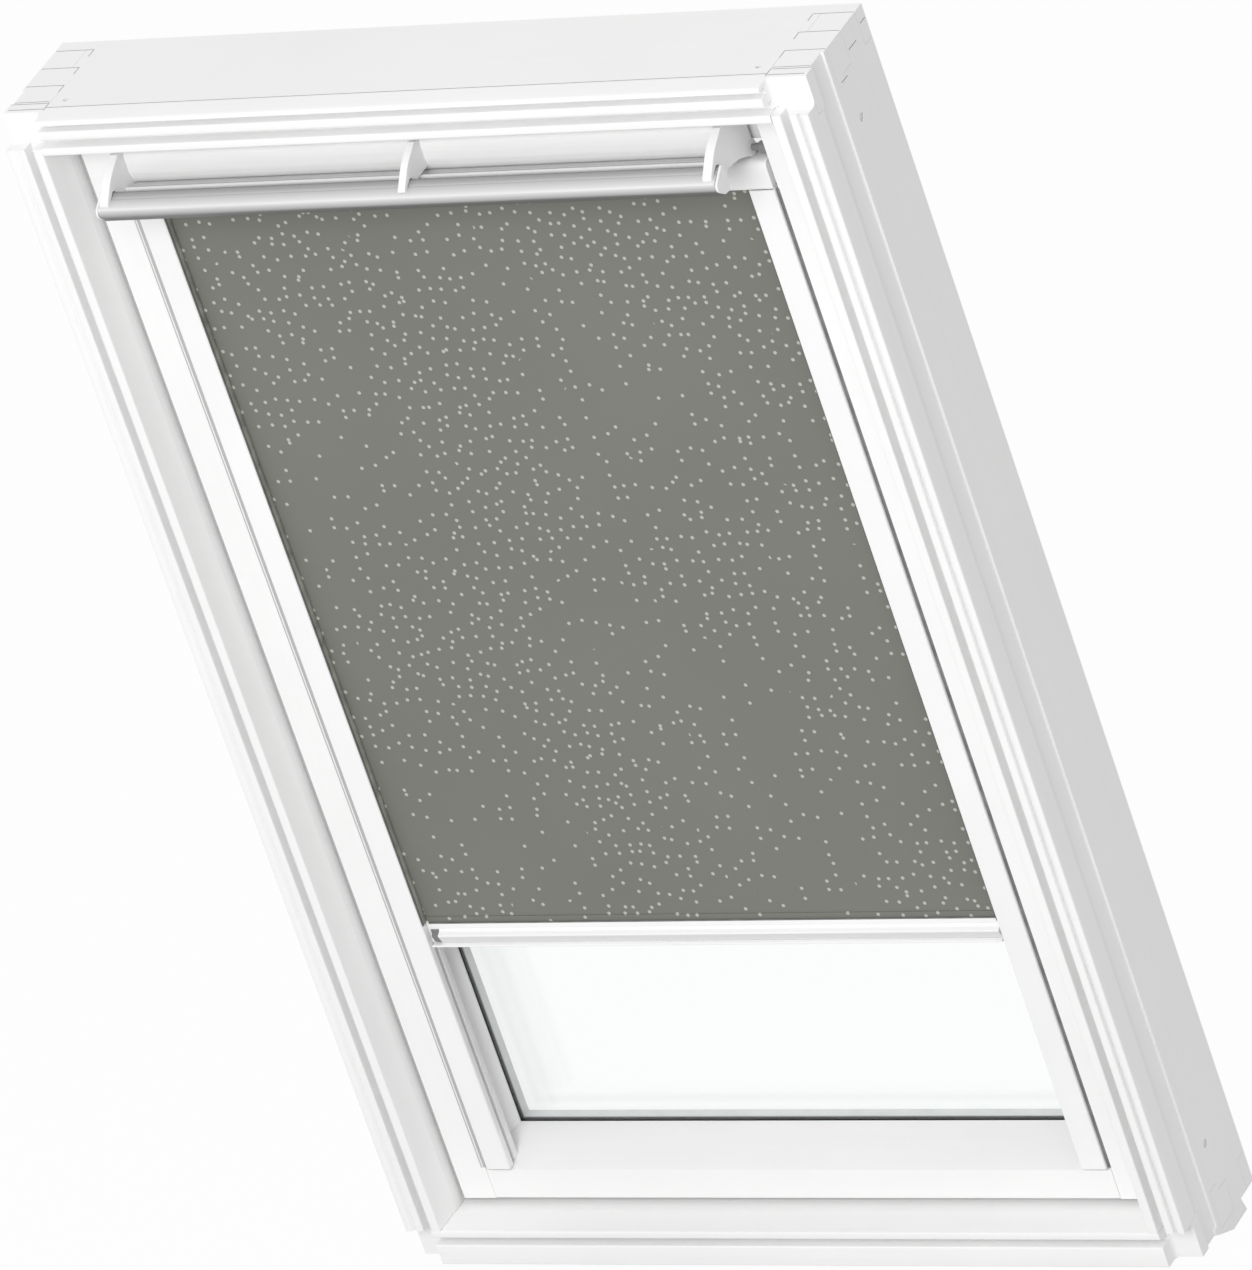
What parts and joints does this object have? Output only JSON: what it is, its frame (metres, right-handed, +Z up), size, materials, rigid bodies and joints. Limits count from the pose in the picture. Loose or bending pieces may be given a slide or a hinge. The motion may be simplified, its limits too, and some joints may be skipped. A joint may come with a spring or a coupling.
{
  "type": "roof window with blackout blind",
  "caption": "White centre-pivot timber roof window with insulated glazing, ventilation flap, control bar and a spring-roller blackout blind running in side channels",
  "frame": {"origin": "middle of the underside of the bounding box, window standing upright", "axes": "+Z up along the height of the window, +X to the right when seen from the room, -Y towards the room"},
  "size_m": [0.78, 0.1732, 1.204],
  "materials": {
    "painted_timber": "white satin paint on finger-jointed softwood",
    "seal_rubber": "black, smooth",
    "inner_glass": "clear, polished",
    "outer_glass": "clear, polished",
    "spacer": "dark grey, matt",
    "block_plastic": "dark, moulded",
    "cover_metal": "grey coated sheet",
    "hinge_steel": "zinc plated",
    "lock_metal": "light coated pressing",
    "filter_fleece": "soft off-white fleece",
    "bar_metal": "satin anodised extrusion",
    "grey_plastic": "fine moulded grain",
    "blind_profile": "white powder coat",
    "white_plastic": "white, moulded",
    "roller_metal": "mill finish tube",
    "spring_steel": "dull steel",
    "blackout_cloth": "grey-green coated cloth with small pale dots"
  },
  "bodies": {
    "frame": {"frame_jamb_right": "painted_timber", "frame_jamb_left": "painted_timber", "frame_head": "painted_timber", "frame_sill": "painted_timber", "corner_screw_lower_right": "hinge_steel", "corner_screw_lower_left": "hinge_steel", "corner_screw_upper_right": "hinge_steel", "corner_screw_upper_left": "hinge_steel", "frame_seal_upper": "seal_rubber", "frame_seal_lower": "seal_rubber", "frame_pivot_right": "hinge_steel", "frame_pivot_left": "hinge_steel", "strike_plate": "hinge_steel"},
    "sash": {"sash_stile_right": "painted_timber", "sash_stile_left": "painted_timber", "sash_top_rail": "painted_timber", "sash_bottom_rail": "painted_timber", "glass_inner_pane": "inner_glass", "glass_outer_pane": "outer_glass", "glass_spacer": "spacer", "glazing_seal": "seal_rubber", "glazing_block_right": "block_plastic", "glazing_block_left": "block_plastic", "sash_cover_right": "cover_metal", "sash_cover_left": "cover_metal", "sash_cover_top": "cover_metal", "sash_cover_bottom": "cover_metal", "sash_pivot_right": "hinge_steel", "sash_pivot_left": "hinge_steel", "lock_case": "lock_metal", "air_filter": "filter_fleece", "flap_bush_right": "grey_plastic", "flap_bush_left": "grey_plastic", "blind_casing": "blind_profile", "casing_end_plate_right": "white_plastic", "casing_end_plate_left": "white_plastic", "blind_channel_right": "blind_profile", "blind_channel_left": "blind_profile", "blind_fabric": "blackout_cloth"},
    "lock_bolt": {"lock_bolt": "hinge_steel"},
    "vent_flap": {"vent_flap": "painted_timber", "flap_gasket": "seal_rubber", "control_bar": "bar_metal", "bar_end_cap_right": "grey_plastic", "bar_end_cap_left": "grey_plastic", "flap_bracket_right": "grey_plastic", "flap_bracket_left": "grey_plastic", "flap_bracket_middle": "grey_plastic", "flap_hinge_pin_right": "hinge_steel", "flap_hinge_pin_left": "hinge_steel"},
    "blind_roller": {"blind_roller_tube": "roller_metal", "blind_fabric_roll": "blackout_cloth", "roller_plug_right": "white_plastic", "roller_plug_left": "white_plastic", "roller_spring_cassette": "spring_steel"},
    "blind_bar": {"blind_bottom_bar": "blind_profile", "bar_guide_right": "white_plastic", "bar_guide_left": "white_plastic"}
  },
  "joints": [
    {"name": "sash_pivot", "type": "hinge", "parent": "frame", "child": "sash", "pos_m": [0, 0.02835, 0.609], "axis": [1, 0, 0], "range_deg": [0, 160]},
    {"name": "lock_slide", "type": "slide", "parent": "sash", "child": "lock_bolt", "axis": [0, 0, 1], "range_m": [0, 0.012]},
    {"name": "flap_hinge", "type": "hinge", "parent": "sash", "child": "vent_flap", "pos_m": [0, -0.01065, 1.12], "axis": [1, 0, 0], "range_deg": [0, 35]},
    {"name": "blind_slide", "type": "slide", "parent": "sash", "child": "blind_bar", "axis": [0, 0, 1], "range_m": [-0.232, 0.725], "deforming": ["blind_fabric"]},
    {"name": "roller_spin", "type": "hinge", "parent": "sash", "child": "blind_roller", "pos_m": [0, -0.00045, 1.0975], "axis": [1, 0, 0], "range_deg": [-4080, 1310]}
  ],
  "couplings": [
    {"joint": "roller_spin", "follows": "blind_slide", "rad_per_m": -98.04}
  ]
}
